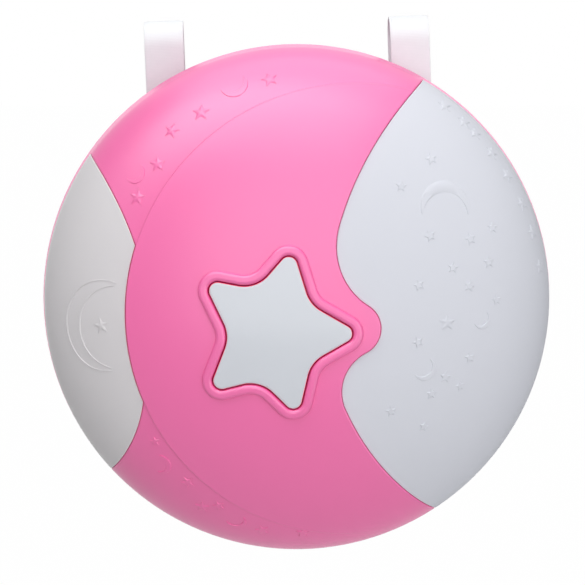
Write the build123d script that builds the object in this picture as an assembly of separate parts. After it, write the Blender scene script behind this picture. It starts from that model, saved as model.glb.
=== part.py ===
from build123d import *
import os
from math import cos, hypot, radians, sin, sqrt

os.makedirs("parts", exist_ok=True)

# A round night light that hangs on a crib rail. All sizes are millimetres.
# X points right, Y points back and Z points up. The origin is the centre of the flat back.
# Plan positions are (X, Z) pairs, and depths are values of Y: the front of the disc faces -Y.

# Body of the disc
BODY_RADIUS = 115.0  # outline at the seam
FRONT_RISE = 48.0  # crown of the front dome above the seam
REAR_DEPTH = 22.0  # seam to the flat back
RIM_BAND = 7.0  # band of the rear housing beside the seam
RIM_FLARE = 1.0  # how much wider the band is at its back
BACK_FLAT_RADIUS = 62.0  # flat part of the back
WALL = 2.5  # rear housing and front cover
LENS_WALL = 3.0  # lens and side panel
SEAM_GAP = 0.2  # front pieces to the rear housing
EDGE_GAP = 0.15  # lens or side panel to the cover
RIM_OVERRUN = 8.0  # how far the outlines of front pieces run past the rim

# Lap joint that holds the lens and the side panel under the cover
LAP_WIDTH = 4.0
LAP_SKIN = 1.5  # what is left of the cover above the lap
LAP_GAP = 0.2

# Tongue of the rear housing that centres the front pieces
TONGUE_WALL = 1.5
TONGUE_REACH = 3.0
TONGUE_ROOT = 5.0
TONGUE_GAP = 0.6

# Raised moon disc of the cover
MOON_CENTRE = (25.0, -3.0)
MOON_RADIUS = 102.0
MOON_STEP = 1.2
MOON_FADE = 0.1  # smaller radius at the rim, so that the step dies out just inside it

# Edge between the cover and the lens, from the rim at the top to the rim at the foot
LENS_TOP_ANGLE = 59.1
LENS_UPPER_TURN = (17.35, 37.6)
LENS_WAIST = (15.85, 27.5)
LENS_BULGE_TOP = (3.1, 11.9)  # from the star's right tip, which the bulge goes round
LENS_BULGE_FOOT = (2.1, -8.6)
LENS_LOWER_TURN = (20.0, -44.5)
LENS_FOOT_ANGLE = -54.7

# Edges of the side panel: an upper and a lower arc, cut by the moon disc
PANEL_UPPER_CENTRE = (-206.8, -19.4)
PANEL_UPPER_RADIUS = 142.4
PANEL_LOWER_CENTRE = (-132.6, -34.2)
PANEL_LOWER_RADIUS = 63.9
PANEL_SPLIT = -9.0

# Star button
STAR_CENTRE = (-12.2, -10.4)
STAR_TIP_ANGLES = (0.0, 77.0, 142.0, 223.0, 287.0)
STAR_TIP = 39.2  # tips and valleys before rounding
STAR_VALLEY = 21.2
STAR_LEFT_VALLEY = 18.9
STAR_TIP_ROUND = 4.0
STAR_VALLEY_ROUND = 14.0
STAR_WALL = 2.0
STAR_SKIRT = 2.0
STAR_PROUD = 1.2  # star above the moon disc
STAR_GAP = 0.35
STAR_TRAVEL = 2.5
BEAD_WIDTH = 4.5
BEAD_PROUD = 1.8
FLANGE_WIDTH = 2.5  # lip that keeps the star behind the cover
FLANGE_WALL = 2.0
FLANGE_GAP = 0.3

# Rounded edges of what shows at the front
MOON_ROUND = 0.6
BEAD_OUTER_ROUND = 1.7
BEAD_INNER_ROUND = 1.6
STAR_ROUND = 1.2
COVER_ROUND = 0.6  # cover along the lens and the side panel
LENS_ROUND = 0.4  # lens and side panel along the cover
TOUCH = 0.02  # how near an edge lies to the outline that it follows

# Posts of the star, with the springs round them
POST_RADIUS = 2.5
POST_CIRCLE = 14.0
POST_ANGLES = (90, 210, 330)
POST_GAP = 0.2
POST_REACH = 2.0  # post past the back of the button plate
POST_ROOM = 3.5  # pressed post to the board
SEAT_RADIUS = 5.0
SEAT_DROP = 3.9  # spring seat behind the star's inner face
PLUNGER_RADIUS = 3.0
PLUNGER_GAP = 0.5
SPRING_LENGTH = 12.0
SPRING_RADIUS = 3.4
SPRING_WIRE = 0.6
SPRING_TURNS = 5
SPRING_END_GAP = 0.05

# Button plate
PLATE_WALL = 2.0
PLATE_CORNER = 6.0
PLATE_BOSS_OUT = 1.9  # boss circle outside the star's tips
PLATE_BOSS_ANGLES = (64, 183, 300)
PLATE_BOSS_RADIUS = 3.5
STANDOFF_RADIUS = 3.0

# Control board
BOARD_SIZE = (48.0, 38.0)
BOARD_CORNER = 2.0
BOARD_WALL = 1.6
BOARD_HOLES = (20.0, 15.0)  # half of the hole spacing
CHIP_SIZE = (10.0, 10.0, 1.6)
CHIP_PLACE = (-8.0, 5.0)
CAPACITOR_RADIUS = 3.0
CAPACITOR_HEIGHT = 9.0
CAPACITOR_PLACE = (9.0, 7.0)
RESISTOR_SIZE = (3.2, 1.6, 0.8)
RESISTOR_ROW = (-12.0, -6.0, 0.0, 6.0)
RESISTOR_LINE = -5.0
SWITCH_SIDE = 8.0
SWITCH_HEIGHT = 7.0
STEM_RADIUS = 1.75
STEM_GAP = 0.3
STEM_OUT = 5.0
STEM_IN = 3.0

# Lamps: round 5 mm parts
LED_RADIUS = 2.5
LED_FLANGE = 2.9
LED_FLANGE_HEIGHT = 1.0
LED_HEIGHT = 8.6
LED_WINDOW_RADIUS = 4.0
STAR_LED_ANGLES = (30, 150, 270)
LIGHT_BOARD_SIZE = (16.0, 72.0)
LIGHT_BOARD_X = 66.0
LIGHT_BOARD_FRONT = -14.0
LIGHT_BOARD_HOLE = 26.0
LENS_LED_HEIGHTS = (-15.0, 0.0, 15.0)
LIGHT_PILLAR_RADIUS = 3.5

# Screws
SCREW_RADIUS = 1.5
SCREW_HOLE_GAP = 0.1
SCREW_HEAD_RADIUS = 2.8
SCREW_HEAD_HEIGHT = 2.0
SCREW_CROSS = (3.2, 0.7, 0.9)  # length, width and depth of the driver's cross
HEAD_GAP = 0.4
HOUSING_SCREW_LENGTH = 18.0
HOUSING_SCREW_WEB = 9.0  # head seat to the seam
PLATE_SCREW_LENGTH = 10.0
BOARD_SCREW_LENGTH = 7.0
LIGHT_SCREW_LENGTH = 7.0
SCREW_TIP_ROOM = 1.5

# Bosses of the housing screws
BOSS_INSET = 17.0  # boss circle inside the rim
BOSS_RADIUS = 4.0
PILLAR_RADIUS = 5.0
COVER_BOSS_ANGLES = (78, 108, 242, 288)
LENS_BOSS_ANGLES = (-25, 25)
PANEL_BOSS_ANGLES = (165, 195)
BOSS_ROOT = 1.0  # bosses stop this far inside the outer skin

# Battery box
CELL_RADIUS = 7.1
CELL_LENGTH = 49.2
NUB_RADIUS = 2.75
NUB_LENGTH = 1.2
CELL_SPACING = 0.8
CELL_SIDE_ROOM = 0.6
CELL_DEPTH_ROOM = 0.4
CELL_END_ROOM = 0.1
CONTACT_SIDE = 10.0
CONTACT_WALL = 0.4
CONTACT_SPRING_LENGTH = 5.2
CONTACT_SPRING_RADIUS = 3.2
CONTACT_SPRING_WIRE = 0.7
CONTACT_SPRING_TURNS = 3
BOX_WALL = 1.8

# Battery door
DOOR_WALL = 2.3
DOOR_SEAT_GAP = 0.1
DOOR_GAP = 0.3
DOOR_LAP = 2.0
DOOR_CORNER = 6.0
DOOR_SEAT_WALL = 2.5
DOOR_SEAT_RIM = 4.0
DOOR_SCREW_INSET = 5.0
DOOR_SCREW_OUT = 4.5  # screw axis outside the box wall
DOOR_SCREW_LENGTH = 8.0
DOOR_SCREW_HEAD_ROOM = 1.4  # depth of the hole for the head
DOOR_SCREW_SUNK = 0.1  # head below the door's face
DOOR_BOSS_RADIUS = 3.75
DOOR_GROOVE = (16.0, 0.8, 0.5)  # length, width and depth of each grip groove
DOOR_GROOVE_PITCH = 2.4
DOOR_GROOVE_COUNT = 5
DOOR_GROOVE_HEIGHT = -14.0  # Z of the middle groove

# Mode switch
MODE_DROP = 19.3  # centre below the battery door
MODE_BODY = (14.0, 7.0, 5.5)
MODE_CAVITY_DEPTH = 3.0
MODE_KNOB = (4.0, 3.6)
MODE_TRAVEL = 4.0
MODE_GAP = 0.3
MODE_POCKET = (18.0, 9.0, 1.2)
MODE_POCKET_CORNER = 3.0
MODE_PAD_RIM = 2.0
MODE_KNOB_SUNK = 0.5
MODE_RIB_WALL = 1.6
MODE_RIB_GAP = 0.2

# Straps
STRAP_SLOTS = {"left": -59.3, "right": 54.0}  # X of each slot
STRAP_TOPS = {"left": 10.8, "right": 12.5}  # top of each loop above the rim
STRAP_SLOT_INSET = 17.3  # slot inside the rim
STRAP_WIDTH = 18.0
STRAP_WALL = 1.2
STRAP_LEAN = -2.2
STRAP_SLOT_SIDE_GAP = 1.0
STRAP_SLOT_HEIGHT = 3.2
STRAP_PAD_RIM = 3.0
STRAP_PAD_GAP = 0.3  # pad behind the shell's inner face at the far end of the hem
STRAP_FRONT = 2.0  # Y of the front run's middle
STRAP_BEND = 4.0
LOOP_RADIUS = 11.0  # middle of the strap round the top
LOOP_FOOT = 17.0  # middle of the lower bend above the slot
PATCH_WALL = 0.8
PATCH_LENGTH = 13.0
PATCH_MARGIN = 1.0
PIN_RADIUS = 1.5
PIN_GAP = 0.15
PIN_OVERHANG = 2.0
HEM_GAP = 0.3

# Wires: places on the control board are given from its middle
LEAD_RADIUS = 0.8
LEAD_BEND = 4.0
BATTERY_LEAD_SPREAD = 4.0
BATTERY_LEAD_PLACE = (0.0, -14.0)
LENS_LEAD_PLACE = (17.0, 0.0)
LENS_LEAD_END = (-4.0, -7.5)  # from the middle of the light board
LENS_LEAD_DROP = 11.0  # lead behind the control board
LENS_LEAD_RISE = 10.0  # lead in front of the light board
LENS_LEAD_SAG = 3.0
MODE_LEAD_PLACE = (-6.0, -16.5)
MODE_LEAD_RISE = 15.0  # lead in front of the mode switch
MODE_LEAD_DROP = 8.0

# Levels worked out from the sizes above
REAR_RADIUS = BODY_RADIUS + RIM_FLARE
FRONT_BASE = -(REAR_DEPTH + SEAM_GAP)
MOON_RISE = FRONT_RISE + MOON_STEP
BEAD_RISE = MOON_RISE + BEAD_PROUD
STAR_RISE = MOON_RISE + STAR_PROUD
BOSS_CIRCLE = BODY_RADIUS - BOSS_INSET
SCREW_HOLE = SCREW_RADIUS + SCREW_HOLE_GAP
HEAD_HOLE = SCREW_HEAD_RADIUS + HEAD_GAP
HOUSING_SCREW_SEAT = HOUSING_SCREW_WEB - REAR_DEPTH


def dome_depth(place, inset=0.0, rise=FRONT_RISE):
    """Y of the front form at a plan position."""
    share = hypot(*place) / (BODY_RADIUS - inset)
    return FRONT_BASE - (rise - inset) * sqrt(1 - share**2)


def rear_depth(radius, inset=0.0):
    """Y of the rear form at a plan radius outside the flat back."""
    share = (radius - BACK_FLAT_RADIUS) / (REAR_RADIUS - BACK_FLAT_RADIUS - inset)
    return -inset - (REAR_DEPTH - RIM_BAND - inset) * (1 - sqrt(1 - share**2))


def strap_slot_height(side):
    """Z of a strap's slot: the slots lie on a circle inside the rim."""
    return sqrt((BODY_RADIUS - STRAP_SLOT_INSET) ** 2 - STRAP_SLOTS[side] ** 2)


SEAT_LEVEL = dome_depth(STAR_CENTRE, STAR_WALL, STAR_RISE) + SEAT_DROP
PLATE_FRONT = SEAT_LEVEL + SPRING_LENGTH
PLATE_BACK = PLATE_FRONT + PLATE_WALL
STANDOFF_HEIGHT = POST_REACH + STAR_TRAVEL + POST_ROOM
BOARD_FRONT = PLATE_BACK + STANDOFF_HEIGHT
BOARD_BACK = BOARD_FRONT + BOARD_WALL
SWITCH_FRONT = BOARD_FRONT - SWITCH_HEIGHT
STEM_FRONT = SWITCH_FRONT - STEM_OUT
LIGHT_BOARD_BACK = LIGHT_BOARD_FRONT + BOARD_WALL

BOX_HALF_LENGTH = (CELL_LENGTH + NUB_LENGTH + CONTACT_SPRING_LENGTH) / 2 + CONTACT_WALL + CELL_END_ROOM
CELL_PITCH = 2 * CELL_RADIUS + CELL_SPACING
BOX_HALF_HEIGHT = CELL_PITCH + CELL_RADIUS + CELL_SIDE_ROOM
DOOR_SEAT = -(DOOR_WALL + DOOR_SEAT_GAP)
CELL_AXIS = DOOR_SEAT - CELL_DEPTH_ROOM - CELL_RADIUS
BOX_FLOOR = CELL_AXIS - CELL_RADIUS - CELL_DEPTH_ROOM
BOX_FRONT = BOX_FLOOR - BOX_WALL
DOOR_SCREW_X = BOX_HALF_LENGTH + BOX_WALL + DOOR_SCREW_OUT
DOOR_SIZE = (2 * (DOOR_SCREW_X + DOOR_SCREW_INSET), 2 * (BOX_HALF_HEIGHT + DOOR_LAP))

MODE_PLACE = (0.0, -DOOR_SIZE[1] / 2 - MODE_DROP)
MODE_WALL_FRONT = -(MODE_POCKET[2] + WALL)
MODE_SLOT = (MODE_KNOB[0] + MODE_TRAVEL + 2 * MODE_GAP, MODE_KNOB[1] + 2 * MODE_GAP)

PLATE_BOSS_CIRCLE = STAR_TIP + PLATE_BOSS_OUT
HEM_RADIUS = PIN_RADIUS + PIN_GAP + STRAP_WALL
HEM_REACH = max(
    hypot(abs(x) + STRAP_WIDTH / 2, strap_slot_height(side) + HEM_RADIUS) for side, x in STRAP_SLOTS.items()
)
STRAP_PAD_DEPTH = rear_depth(HEM_REACH, WALL) - STRAP_PAD_GAP
HEM_LEVEL = STRAP_PAD_DEPTH - HEM_GAP - HEM_RADIUS
TAIL_LEVEL = STRAP_FRONT + STRAP_WALL + 2 * PATCH_WALL
PATCH_SIZE = (STRAP_WIDTH - 2 * PATCH_MARGIN, PATCH_LENGTH)


def polar(radius, angle, centre=(0.0, 0.0)):
    """Plan position at a radius and an angle in degrees from a centre."""
    return centre[0] + radius * cos(radians(angle)), centre[1] + radius * sin(radians(angle))


def along_y(sketch, back, front):
    """Prism of a plan sketch from the depth back to the depth front."""
    return extrude(Plane.XZ.offset(-back) * sketch, amount=back - front)


def rod(place, radius, back, front):
    """Round bar along Y at a plan position."""
    return along_y(Pos(*place) * Circle(radius), back, front)


def block(place, size, back, front, corner=0.0):
    """Upright block at a plan position, with rounded corners if corner is given."""
    outline = RectangleRounded(*size, corner) if corner else Rectangle(*size)
    return along_y(Pos(*place) * outline, back, front)


def front_region(sketch):
    """Prism of a plan sketch through the whole front."""
    return along_y(sketch, 0, FRONT_BASE - BEAD_RISE - WALL)


def dome(inset=0.0, rise=FRONT_RISE, radius=BODY_RADIUS):
    """Half ellipsoid of the front form, shrunk by inset and standing on the front base."""
    arc = EllipticalCenterArc((0, FRONT_BASE), radius - inset, rise - inset, start_angle=270, arc_size=90)
    foot = Polyline(arc @ 1, (0, FRONT_BASE), arc @ 0)
    return revolve(make_face(arc + foot), axis=Axis.Y)


def rear_form(inset=0.0):
    """Solid of the rear form: flat back, elliptical shoulder and flared rim band, shrunk by inset."""
    shoulder = -(REAR_DEPTH - RIM_BAND)
    arc = EllipticalCenterArc(
        (BACK_FLAT_RADIUS, shoulder), REAR_RADIUS - BACK_FLAT_RADIUS - inset, -shoulder - inset
    )
    foot = Polyline(arc @ 0, (BODY_RADIUS - inset, -REAR_DEPTH), (0, -REAR_DEPTH), (0, -inset), arc @ 1)
    return revolve(make_face(arc + foot), axis=Axis.Y)


def lens_outline():
    """Window on the right: tangent arcs swing round the star, and the rest lies outside the rim."""
    top = polar(BODY_RADIUS + RIM_OVERRUN, LENS_TOP_ANGLE)
    foot = polar(BODY_RADIUS + RIM_OVERRUN, LENS_FOOT_ANGLE)
    far = BODY_RADIUS + 2 * RIM_OVERRUN
    tip_x, tip_z = polar(STAR_TIP, STAR_TIP_ANGLES[0], STAR_CENTRE)
    bulge_top = (tip_x + LENS_BULGE_TOP[0], tip_z + LENS_BULGE_TOP[1])
    bulge_foot = (tip_x + LENS_BULGE_FOOT[0], tip_z + LENS_BULGE_FOOT[1])
    upper_turn = TangentArc(LENS_WAIST, LENS_UPPER_TURN, tangent=(0, 1))
    upper_run = TangentArc(LENS_UPPER_TURN, top, tangent=upper_turn % 1)
    hollow = TangentArc(LENS_WAIST, bulge_top, tangent=(0, -1))
    bulge = TangentArc(bulge_top, bulge_foot, tangent=hollow % 1)
    lower_turn = TangentArc(bulge_foot, LENS_LOWER_TURN, tangent=bulge % 1)
    lower_run = TangentArc(LENS_LOWER_TURN, foot, tangent=lower_turn % 1)
    outside = Polyline(foot, (far, foot[1]), (far, top[1]), top)
    return make_face([upper_turn, upper_run, hollow, bulge, lower_turn, lower_run, *outside.edges()])


def panel_form():
    """Two arcs that meet behind the moon disc."""
    reach = BODY_RADIUS + RIM_OVERRUN
    upper_half = Pos(0, PANEL_SPLIT + reach) * Rectangle(2 * reach, 2 * reach)
    lower_half = Pos(0, PANEL_SPLIT - reach) * Rectangle(2 * reach, 2 * reach)
    upper = Pos(*PANEL_UPPER_CENTRE) * Circle(PANEL_UPPER_RADIUS) & upper_half
    lower = Pos(*PANEL_LOWER_CENTRE) * Circle(PANEL_LOWER_RADIUS) & lower_half
    return upper + lower


def moon_outline():
    """Raised disc of the moon."""
    return Pos(*MOON_CENTRE) * Circle(MOON_RADIUS)


def panel_outline():
    """Side panel on the left: what the moon disc leaves of the two arcs."""
    return panel_form() - moon_outline()


def star_outline():
    """Star with rounded tips and valleys: each valley lies half-way between two tips."""
    next_angles = STAR_TIP_ANGLES[1:] + (STAR_TIP_ANGLES[0] + 360,)
    valleys = (STAR_VALLEY, STAR_VALLEY, STAR_LEFT_VALLEY, STAR_VALLEY, STAR_VALLEY)
    corners = []
    rounds = []
    for tip, next_tip, valley in zip(STAR_TIP_ANGLES, next_angles, valleys):
        corners += [polar(STAR_TIP, tip), polar(valley, (tip + next_tip) / 2)]
        rounds += [STAR_TIP_ROUND, STAR_VALLEY_ROUND]
    edge = FilletPolyline(*corners, radius=rounds, close=True)
    return Pos(*STAR_CENTRE) * make_face(edge)


def skin_edges(body, outline):
    """Edges of a front piece's outer skin that follow a plan outline."""
    border = outline.wire()

    def follows(edge):
        middle = edge @ 0.5
        place = (middle.X, middle.Z)
        if edge.geom_type == GeomType.LINE or hypot(*place) > BODY_RADIUS - TOUCH:
            return False
        return middle.Y < dome_depth(place) + TOUCH and border.distance_to(Vertex(*place, 0)) < TOUCH

    return [edge for edge in body.edges() if follows(edge)]


def rounded(body, outline, radius):
    """Front piece with its skin rounded along an outline, or left sharp where the radius doesn't fit."""
    try:
        return fillet(skin_edges(body, outline), radius)
    except ValueError:
        return body


def screw(place, seat, length, head_side, head_height=SCREW_HEAD_HEIGHT):
    """Pan-head screw along Y: head_side is 1 for a head at the back and -1 for one at the front."""
    head_end = seat + head_side * head_height
    tip = seat - head_side * length
    shank = rod(place, SCREW_RADIUS, max(seat, tip), min(seat, tip))
    head = rod(place, SCREW_HEAD_RADIUS, max(seat, head_end), min(seat, head_end))
    bottom = head_end - head_side * SCREW_CROSS[2]
    bar = Rectangle(SCREW_CROSS[0], SCREW_CROSS[1])
    cross = along_y(Pos(*place) * (bar + Rot(0, 0, 90) * bar), max(head_end, bottom), min(head_end, bottom))
    return shank + head - cross


def coil(base, direction, length, radius, wire, turns):
    """Compression spring that grows from the point base along a direction."""
    height = length - wire - 2 * SPRING_END_GAP
    start = Vector(base) + Vector(direction) * (wire / 2 + SPRING_END_GAP)
    path = Pos(start) * Helix(pitch=height / turns, height=height, radius=radius, direction=direction)
    section = Plane(origin=path @ 0, z_dir=path % 0) * Circle(wire / 2)
    return sweep(section, path=path, is_frenet=True)


def print_coil_gap(name, length, wire, turns):
    """Least gap between neighbouring turns of a spring."""
    pitch = (length - wire - 2 * SPRING_END_GAP) / turns
    print(f"{name}: gap between turns {pitch - wire:.2f} mm")


def lead(points):
    """Wire through the points, with round bends."""
    path = FilletPolyline(*points, radius=LEAD_BEND)
    section = Plane(origin=path @ 0, z_dir=path % 0) * Circle(LEAD_RADIUS)
    return sweep(section, path=path)


def front_bosses(angles):
    """Bosses of a front piece for its housing screws, rooted inside its skin."""
    crown = FRONT_BASE - FRONT_RISE
    places = [polar(BOSS_CIRCLE, angle) for angle in angles]
    return [rod(place, BOSS_RADIUS, FRONT_BASE, crown) & dome(BOSS_ROOT) for place in places]


def front_screw_holes(angles):
    """Holes in the bosses of a front piece."""
    tip = HOUSING_SCREW_SEAT - HOUSING_SCREW_LENGTH - SCREW_TIP_ROOM
    return [rod(polar(BOSS_CIRCLE, angle), SCREW_HOLE, FRONT_BASE, tip) for angle in angles]


def front_cover():
    """Pink shell with the raised moon disc, the bead round the star and the bosses behind."""
    star_hole = offset(star_outline(), STAR_GAP)
    bead_outline = offset(star_hole, BEAD_WIDTH)
    moon = dome(rise=MOON_RISE, radius=BODY_RADIUS - MOON_FADE) & front_region(moon_outline())
    bead = dome(rise=BEAD_RISE) & front_region(bead_outline)
    shell = rounded(dome() - front_region(panel_form()), panel_form(), COVER_ROUND)
    shell += rounded(moon, moon_outline(), MOON_ROUND)
    shell += rounded(bead, bead_outline, BEAD_OUTER_ROUND)
    shell -= dome(WALL)
    for outline in (lens_outline(), panel_outline()):
        shell -= front_region(outline)
        shell -= dome(LAP_SKIN) & front_region(offset(outline, LAP_WIDTH + EDGE_GAP))
    shell -= front_region(star_hole)
    shell = rounded(shell, star_hole, BEAD_INNER_ROUND)
    shell = rounded(shell, lens_outline(), COVER_ROUND)
    plate_places = [polar(PLATE_BOSS_CIRCLE, angle, STAR_CENTRE) for angle in PLATE_BOSS_ANGLES]
    for place in plate_places:
        shell += rod(place, PLATE_BOSS_RADIUS, PLATE_FRONT, FRONT_BASE - FRONT_RISE) & dome(BOSS_ROOT)
    shell += front_bosses(COVER_BOSS_ANGLES)
    shell -= front_screw_holes(COVER_BOSS_ANGLES)
    for place in plate_places:
        shell -= rod(place, SCREW_HOLE, PLATE_FRONT, PLATE_BACK - PLATE_SCREW_LENGTH - SCREW_TIP_ROOM)
    return shell


def lapped_piece(outline, boss_angles):
    """Lens or side panel: a skin flush with the dome and a lip that laps under the cover."""
    edge = offset(outline, -EDGE_GAP)
    skin = rounded((dome() - dome(LENS_WALL)) & front_region(edge), edge, LENS_ROUND)
    lip = (dome(LAP_SKIN + LAP_GAP) - dome(LENS_WALL)) & front_region(offset(outline, LAP_WIDTH))
    piece = skin + lip + front_bosses(boss_angles)
    return piece - front_screw_holes(boss_angles)


def star_face(inset=0.0):
    """Ball whose near side is the star's shallow face, as round as the dome is at its crown."""
    radius = BODY_RADIUS**2 / STAR_RISE
    centre = dome_depth(STAR_CENTRE, rise=STAR_RISE) + sqrt(radius**2 - hypot(*STAR_CENTRE) ** 2)
    return Pos(0, centre, 0) * Sphere(radius - inset)


def star_region(sketch):
    """Prism of a plan sketch from the button plate to past the star's face."""
    return along_y(sketch, PLATE_FRONT, FRONT_BASE - BEAD_RISE - WALL)


def post_places():
    """Plan positions of the star's posts."""
    return [polar(POST_CIRCLE, angle, STAR_CENTRE) for angle in POST_ANGLES]


def star_button():
    """Star cap with its skirt, retaining flange, plunger and spring posts."""
    star = star_outline()
    cap = rounded(star_face() & star_region(star), star, STAR_ROUND)
    cap += dome(WALL + FLANGE_GAP) & star_region(offset(star, STAR_GAP + FLANGE_WIDTH))
    cap -= star_face(STAR_WALL) & star_region(offset(star, -STAR_SKIRT))
    cap -= dome(WALL + FLANGE_GAP + FLANGE_WALL)
    inside = star_face(STAR_WALL / 2)
    front = FRONT_BASE - STAR_RISE
    cap += rod(STAR_CENTRE, PLUNGER_RADIUS, STEM_FRONT, front) & inside
    for place in post_places():
        cap += rod(place, SEAT_RADIUS, SEAT_LEVEL, front) & inside
        cap += rod(place, POST_RADIUS, PLATE_BACK + POST_REACH, SEAT_LEVEL)
    return cap


def button_springs():
    """Three coils between the star and the button plate."""
    return [
        coil((x, PLATE_FRONT, z), (0, -1, 0), SPRING_LENGTH, SPRING_RADIUS, SPRING_WIRE, SPRING_TURNS)
        for x, z in post_places()
    ]


def board_hole_places():
    """Plan positions of the four screws of the control board."""
    return [
        (STAR_CENTRE[0] + side * BOARD_HOLES[0], STAR_CENTRE[1] + end * BOARD_HOLES[1])
        for side in (-1, 1)
        for end in (-1, 1)
    ]


def button_plate():
    """Three-cornered carrier with guide holes for the posts, lamp windows and stand-offs for the board."""
    corners = [polar(PLATE_BOSS_CIRCLE, angle, STAR_CENTRE) for angle in PLATE_BOSS_ANGLES]
    outline = make_hull([(Pos(*corner) * Circle(PLATE_CORNER)).edge() for corner in corners])
    plate = along_y(outline, PLATE_BACK, PLATE_FRONT)
    for place in board_hole_places():
        plate += rod(place, STANDOFF_RADIUS, BOARD_FRONT, PLATE_FRONT)
    plate -= rod(STAR_CENTRE, PLUNGER_RADIUS + PLUNGER_GAP, PLATE_BACK, PLATE_FRONT)
    for corner in corners:
        plate -= rod(corner, SCREW_HOLE, PLATE_BACK, PLATE_FRONT)
    for place in post_places():
        plate -= rod(place, POST_RADIUS + POST_GAP, PLATE_BACK, PLATE_FRONT)
    for angle in STAR_LED_ANGLES:
        plate -= rod(polar(POST_CIRCLE, angle, STAR_CENTRE), LED_WINDOW_RADIUS, PLATE_BACK, PLATE_FRONT)
    for place in board_hole_places():
        plate -= rod(place, SCREW_HOLE, BOARD_FRONT, BOARD_BACK - BOARD_SCREW_LENGTH - SCREW_TIP_ROOM)
    return plate


def plate_screws():
    """Three screws from the back of the button plate into the cover."""
    places = [polar(PLATE_BOSS_CIRCLE, angle, STAR_CENTRE) for angle in PLATE_BOSS_ANGLES]
    return [screw(place, PLATE_BACK, PLATE_SCREW_LENGTH, 1) for place in places]


def control_board():
    """Circuit board behind the button plate."""
    board = block(STAR_CENTRE, BOARD_SIZE, BOARD_BACK, BOARD_FRONT, BOARD_CORNER)
    for place in board_hole_places():
        board -= rod(place, SCREW_HOLE, BOARD_BACK, BOARD_FRONT)
    return board


def on_board(place):
    """Plan position of a part given from the middle of the control board."""
    return STAR_CENTRE[0] + place[0], STAR_CENTRE[1] + place[1]


def control_chip():
    """Chip on the back of the control board."""
    return block(on_board(CHIP_PLACE), CHIP_SIZE[:2], BOARD_BACK + CHIP_SIZE[2], BOARD_BACK)


def board_parts():
    """Capacitor and a row of resistors on the back of the control board."""
    parts = [rod(on_board(CAPACITOR_PLACE), CAPACITOR_RADIUS, BOARD_BACK + CAPACITOR_HEIGHT, BOARD_BACK)]
    for x in RESISTOR_ROW:
        place = on_board((x, RESISTOR_LINE))
        parts.append(block(place, RESISTOR_SIZE[:2], BOARD_BACK + RESISTOR_SIZE[2], BOARD_BACK))
    return parts


def board_screws():
    """Four screws from the back of the board into the stand-offs."""
    return [screw(place, BOARD_BACK, BOARD_SCREW_LENGTH, 1) for place in board_hole_places()]


def switch_body():
    """Push switch on the front of the board, with a bore for its stem."""
    body = block(STAR_CENTRE, (SWITCH_SIDE, SWITCH_SIDE), BOARD_FRONT, SWITCH_FRONT)
    bore_end = SWITCH_FRONT + STEM_IN + STAR_TRAVEL + STEM_GAP
    return body - rod(STAR_CENTRE, STEM_RADIUS + STEM_GAP, bore_end, SWITCH_FRONT)


def switch_stem():
    """Stem of the push switch, against the star's plunger."""
    return rod(STAR_CENTRE, STEM_RADIUS, SWITCH_FRONT + STEM_IN, STEM_FRONT)


def led(place, base):
    """Round lamp that shines to the front from a board."""
    flange = rod(place, LED_FLANGE, base, base - LED_FLANGE_HEIGHT)
    barrel = rod(place, LED_RADIUS, base, base - LED_HEIGHT + LED_RADIUS)
    tip = Pos(place[0], base - LED_HEIGHT + LED_RADIUS, place[1]) * Sphere(LED_RADIUS)
    return flange + barrel + tip


def star_leds():
    """Three lamps under the star."""
    return [led(polar(POST_CIRCLE, angle, STAR_CENTRE), BOARD_FRONT) for angle in STAR_LED_ANGLES]


def light_board_holes():
    """Plan positions of the two screws of the light board."""
    return [(LIGHT_BOARD_X, end * LIGHT_BOARD_HOLE) for end in (-1, 1)]


def light_board():
    """Narrow board behind the lens."""
    board = block((LIGHT_BOARD_X, 0), LIGHT_BOARD_SIZE, LIGHT_BOARD_BACK, LIGHT_BOARD_FRONT, BOARD_CORNER)
    for place in light_board_holes():
        board -= rod(place, SCREW_HOLE, LIGHT_BOARD_BACK, LIGHT_BOARD_FRONT)
    return board


def lens_leds():
    """Three lamps behind the lens."""
    return [led((LIGHT_BOARD_X, height), LIGHT_BOARD_FRONT) for height in LENS_LED_HEIGHTS]


def light_board_screws():
    """Two screws from the front of the light board into the rear housing."""
    return [screw(place, LIGHT_BOARD_FRONT, LIGHT_SCREW_LENGTH, -1) for place in light_board_holes()]


def housing_boss_places():
    """Plan positions of the housing screws."""
    angles = COVER_BOSS_ANGLES + LENS_BOSS_ANGLES + PANEL_BOSS_ANGLES
    return [polar(BOSS_CIRCLE, angle) for angle in angles]


def housing_screws():
    """Screws from the back of the housing into the front pieces."""
    return [screw(place, HOUSING_SCREW_SEAT, HOUSING_SCREW_LENGTH, 1) for place in housing_boss_places()]


def strap_place(side):
    """Where a strap is set: at its slot, leaning as the straps of the light do."""
    return Pos(STRAP_SLOTS[side], 0, strap_slot_height(side)) * Rot(0, STRAP_LEAN, 0)


def slot_block(side, rim, back, front):
    """Block round a strap's slot, larger than the slot by rim."""
    size = (STRAP_WIDTH + 2 * (STRAP_SLOT_SIDE_GAP + rim), STRAP_SLOT_HEIGHT + 2 * rim)
    return strap_place(side) * block((0, 0), size, back, front)


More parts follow.
